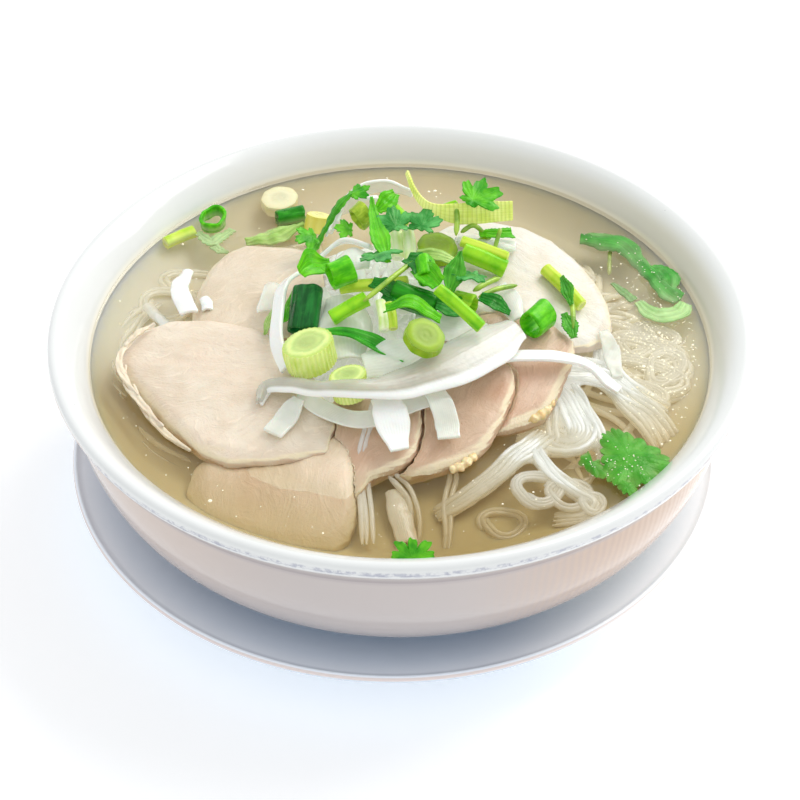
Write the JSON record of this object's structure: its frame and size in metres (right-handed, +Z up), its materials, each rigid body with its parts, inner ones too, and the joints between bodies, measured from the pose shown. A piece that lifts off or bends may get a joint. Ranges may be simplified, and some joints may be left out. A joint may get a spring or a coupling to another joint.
{
  "type": "pho noodle soup",
  "caption": "Bowl of pho noodle soup: rice noodles in clear broth with fanned chicken slices, sliced onion and chopped herbs, in a thick white bowl on an underplate.",
  "frame": {"origin": "bottom centre of the underplate's foot ring, under the bowl's axis, on the surface that it stands on", "axes": "+Z up; -Y towards the front of the bowl, the side it is eaten from; +X to the right"},
  "size_m": [0.2, 0.2, 0.0889],
  "materials": {
    "white_glaze": "gloss",
    "grey_glaze": "gloss",
    "broth": "polished",
    "rice_noodle": "satin",
    "chicken": "satin",
    "onion": "gloss",
    "dark_green": "satin",
    "green": "satin",
    "yellow_green": "satin",
    "pale_green": "satin"
  },
  "bodies": {
    "root": {"bowl": "white_glaze", "underplate": "grey_glaze", "broth": "broth", "noodles": "rice_noodle", "chicken_1": "chicken", "chicken_2": "chicken", "chicken_3": "chicken", "chicken_4": "chicken", "chicken_5": "chicken", "chicken_6": "chicken", "chicken_7": "chicken", "onion_piece_left": "onion", "onion_petal_left": "onion", "onion_petal_middle": "onion", "onion_petal_round": "onion", "onion_petal_back": "onion", "onion_crescent_top": "onion", "onion_strip_side": "onion", "onion_band_low": "onion", "onion_strip_1": "onion", "onion_strip_2": "onion", "onion_strip_3": "onion", "onion_arc_right": "onion", "onion_ring_left": "onion", "onion_petal_front": "onion", "scallion_1": "pale_green", "scallion_2": "pale_green", "stem_2": "pale_green", "stem_3": "pale_green", "stem_4": "pale_green", "bulb_slice": "pale_green", "pale_leaf": "pale_green", "leek_tube": "dark_green", "green_tube_1": "dark_green", "green_tube_2": "dark_green", "wilted_leaf": "dark_green", "slice_1": "yellow_green", "slice_2": "yellow_green", "green_ring_2": "yellow_green", "stem_7": "yellow_green", "curly_strip": "yellow_green", "bulb_chunk": "yellow_green", "green_fold_1": "green", "green_ring_1": "green", "stem_1": "green", "leaf_strip": "green", "green_fold_2": "green", "green_fold_3": "green", "stem_5": "green", "stem_6": "green", "green_ring_3": "green", "stem_8": "green", "coriander_top": "green", "coriander_middle": "green", "coriander_left": "green", "green_ring_4": "green", "stem_9": "green", "coriander_front_right": "green", "coriander_front": "green"}
  },
  "joints": []
}
